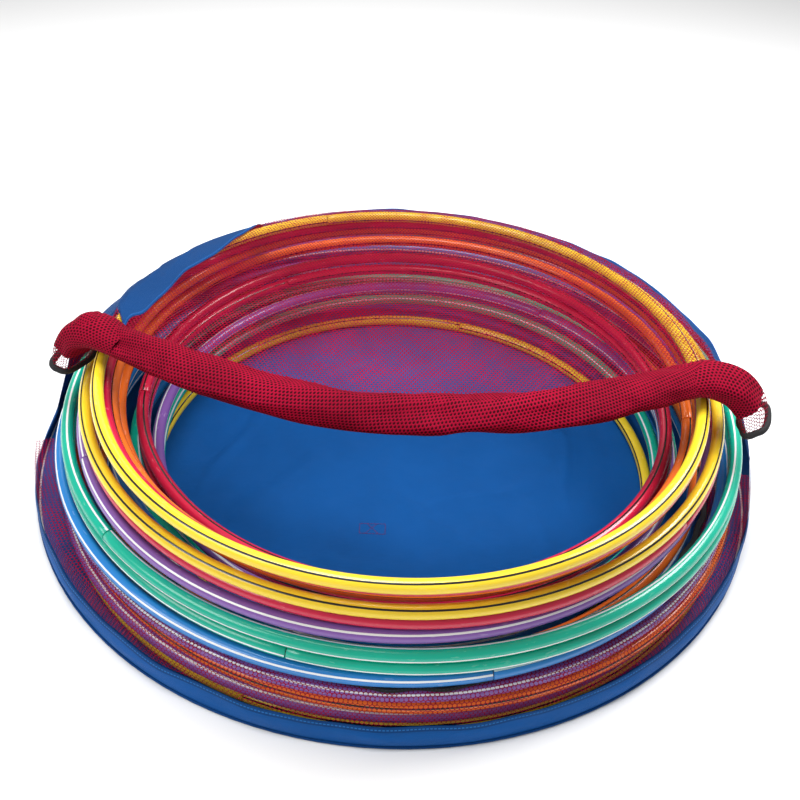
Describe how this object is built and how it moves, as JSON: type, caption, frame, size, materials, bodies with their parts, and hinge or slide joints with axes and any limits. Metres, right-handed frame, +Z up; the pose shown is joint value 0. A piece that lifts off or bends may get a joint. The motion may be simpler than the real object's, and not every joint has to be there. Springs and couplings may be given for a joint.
{
  "type": "gymnastics hoop set in a storage bag",
  "caption": "Graded set of striped plastic gymnastics hoops lying in a round nylon bag with a net cover and a rolled net band across its open mouth.",
  "frame": {"origin": "middle of the bag's underside, on the floor", "axes": "+Z up, -Y towards the open mouth where the hoops are drawn out"},
  "size_m": [1.0061, 1.0062, 0.265],
  "materials": {
    "nylon_blue": "satin",
    "nylon_hem": "satin",
    "net_red": "satin",
    "tape_black": "satin",
    "thread_purple": "satin",
    "tube_yellow": "gloss",
    "tube_purple": "gloss",
    "tube_orange": "gloss",
    "tube_blue": "gloss",
    "tube_green": "gloss",
    "tube_red": "gloss",
    "plug_grey": "matte"
  },
  "bodies": {
    "bag": {"base_panel": "nylon_blue", "side_wall": "nylon_blue", "rim_tape": "nylon_hem", "net_cover": "net_red", "front_lip": "net_red", "lip_tape": "tape_black", "base_seam_piping": "nylon_hem", "stitched_patch": "thread_purple"},
    "mouth_band": {"rolled_band": "net_red", "band_end_tape": "tape_black"},
    "hoop_01_yellow": {"hoop_01_yellow": "tube_yellow", "joiner_01": "plug_grey"},
    "hoop_02_purple": {"hoop_02_purple": "tube_purple", "joiner_02": "plug_grey"},
    "hoop_03_orange": {"hoop_03_orange": "tube_orange", "joiner_03": "plug_grey"},
    "hoop_04_purple": {"hoop_04_purple": "tube_purple", "joiner_04": "plug_grey"},
    "hoop_05_blue": {"hoop_05_blue": "tube_blue", "joiner_05": "plug_grey"},
    "hoop_06_green": {"hoop_06_green": "tube_green", "joiner_06": "plug_grey"},
    "hoop_07_green": {"hoop_07_green": "tube_green", "joiner_07": "plug_grey"},
    "hoop_08_purple": {"hoop_08_purple": "tube_purple", "joiner_08": "plug_grey"},
    "hoop_09_red": {"hoop_09_red": "tube_red", "joiner_09": "plug_grey"},
    "hoop_10_yellow": {"hoop_10_yellow": "tube_yellow", "joiner_10": "plug_grey"},
    "hoop_11_orange": {"hoop_11_orange": "tube_orange", "joiner_11": "plug_grey"},
    "hoop_12_red": {"hoop_12_red": "tube_red", "joiner_12": "plug_grey"},
    "hoop_13_yellow": {"hoop_13_yellow": "tube_yellow", "joiner_13": "plug_grey"},
    "hoop_14_yellow": {"hoop_14_yellow": "tube_yellow", "joiner_14": "plug_grey"},
    "hoop_15_blue": {"hoop_15_blue": "tube_blue", "joiner_15": "plug_grey"},
    "hoop_16_blue": {"hoop_16_blue": "tube_blue", "joiner_16": "plug_grey"},
    "hoop_17_green": {"hoop_17_green": "tube_green", "joiner_17": "plug_grey"},
    "hoop_18_orange": {"hoop_18_orange": "tube_orange", "joiner_18": "plug_grey"},
    "hoop_19_green": {"hoop_19_green": "tube_green", "joiner_19": "plug_grey"},
    "hoop_20_purple": {"hoop_20_purple": "tube_purple", "joiner_20": "plug_grey"},
    "hoop_21_blue": {"hoop_21_blue": "tube_blue", "joiner_21": "plug_grey"},
    "hoop_22_red": {"hoop_22_red": "tube_red", "joiner_22": "plug_grey"},
    "hoop_23_red": {"hoop_23_red": "tube_red", "joiner_23": "plug_grey"},
    "hoop_24_orange": {"hoop_24_orange": "tube_orange", "joiner_24": "plug_grey"}
  },
  "joints": [
    {"name": "band_lift", "type": "hinge", "parent": "bag", "child": "mouth_band", "pos_m": [0.011, -0.0485, 0.1746], "axis": [-0.9959, 0.0908, -0.0021], "range_deg": [0, 70], "deforming": ["net_cover"]},
    {"name": "spin_01_yellow", "type": "hinge", "parent": "bag", "child": "hoop_01_yellow", "pos_m": [0.005, -0.03, 0.0104], "axis": [0, 0, 1], "continuous": true},
    {"name": "spin_02_purple", "type": "hinge", "parent": "bag", "child": "hoop_02_purple", "pos_m": [0.001, -0.03, 0.0272], "axis": [0, 0, 1], "continuous": true},
    {"name": "spin_03_orange", "type": "hinge", "parent": "bag", "child": "hoop_03_orange", "pos_m": [0.011, -0.029, 0.044], "axis": [0, 0, 1], "continuous": true},
    {"name": "spin_04_purple", "type": "hinge", "parent": "bag", "child": "hoop_04_purple", "pos_m": [0.005, -0.027, 0.0608], "axis": [0, 0, 1], "continuous": true},
    {"name": "draw_out_05_blue", "type": "slide", "parent": "bag", "child": "hoop_05_blue", "axis": [0, -1, 0], "range_m": [0, 0.95]},
    {"name": "draw_out_06_green", "type": "slide", "parent": "bag", "child": "hoop_06_green", "axis": [0, -1, 0], "range_m": [0, 0.96]},
    {"name": "draw_out_07_green", "type": "slide", "parent": "bag", "child": "hoop_07_green", "axis": [0, -1, 0], "range_m": [0, 0.96]},
    {"name": "draw_out_08_purple", "type": "slide", "parent": "bag", "child": "hoop_08_purple", "axis": [0, -1, 0], "range_m": [0, 0.89]},
    {"name": "draw_out_09_red", "type": "slide", "parent": "bag", "child": "hoop_09_red", "axis": [0, -1, 0], "range_m": [0, 0.9]},
    {"name": "draw_out_10_yellow", "type": "slide", "parent": "bag", "child": "hoop_10_yellow", "axis": [0, -1, 0], "range_m": [0, 0.9]},
    {"name": "draw_out_11_orange", "type": "slide", "parent": "bag", "child": "hoop_11_orange", "axis": [0, -1, 0], "range_m": [0, 0.84]},
    {"name": "draw_out_12_red", "type": "slide", "parent": "bag", "child": "hoop_12_red", "axis": [0, -1, 0], "range_m": [0, 0.82]},
    {"name": "draw_out_13_yellow", "type": "slide", "parent": "bag", "child": "hoop_13_yellow", "axis": [0, -1, 0], "range_m": [0, 0.81]},
    {"name": "spin_14_yellow", "type": "hinge", "parent": "bag", "child": "hoop_14_yellow", "pos_m": [0.011, -0.046, 0.0104], "axis": [0, 0, 1], "continuous": true},
    {"name": "spin_15_blue", "type": "hinge", "parent": "bag", "child": "hoop_15_blue", "pos_m": [0.005, -0.023, 0.0272], "axis": [0, 0, 1], "continuous": true},
    {"name": "spin_16_blue", "type": "hinge", "parent": "bag", "child": "hoop_16_blue", "pos_m": [0.007, -0.025, 0.044], "axis": [0, 0, 1], "continuous": true},
    {"name": "spin_17_green", "type": "hinge", "parent": "bag", "child": "hoop_17_green", "pos_m": [0.02, -0.031, 0.044], "axis": [0, 0, 1], "continuous": true},
    {"name": "spin_18_orange", "type": "hinge", "parent": "bag", "child": "hoop_18_orange", "pos_m": [0.007, -0.021, 0.0608], "axis": [0, 0, 1], "continuous": true},
    {"name": "spin_19_green", "type": "hinge", "parent": "bag", "child": "hoop_19_green", "pos_m": [0.013, -0.017, 0.0608], "axis": [0, 0, 1], "continuous": true},
    {"name": "spin_20_purple", "type": "hinge", "parent": "hoop_05_blue", "child": "hoop_20_purple", "pos_m": [0.027, -0.05, 0.0816], "axis": [0, 0, 1], "continuous": true},
    {"name": "spin_21_blue", "type": "hinge", "parent": "hoop_06_green", "child": "hoop_21_blue", "pos_m": [-0.007, -0.033, 0.0984], "axis": [0, 0, 1], "continuous": true},
    {"name": "spin_22_red", "type": "hinge", "parent": "hoop_07_green", "child": "hoop_22_red", "pos_m": [0.014, -0.051, 0.1152], "axis": [0, 0, 1], "continuous": true},
    {"name": "spin_23_red", "type": "hinge", "parent": "hoop_08_purple", "child": "hoop_23_red", "pos_m": [0.012, -0.044, 0.132], "axis": [0, 0, 1], "continuous": true},
    {"name": "spin_24_orange", "type": "hinge", "parent": "hoop_09_red", "child": "hoop_24_orange", "pos_m": [0.011, -0.042, 0.1488], "axis": [0, 0, 1], "continuous": true}
  ]
}
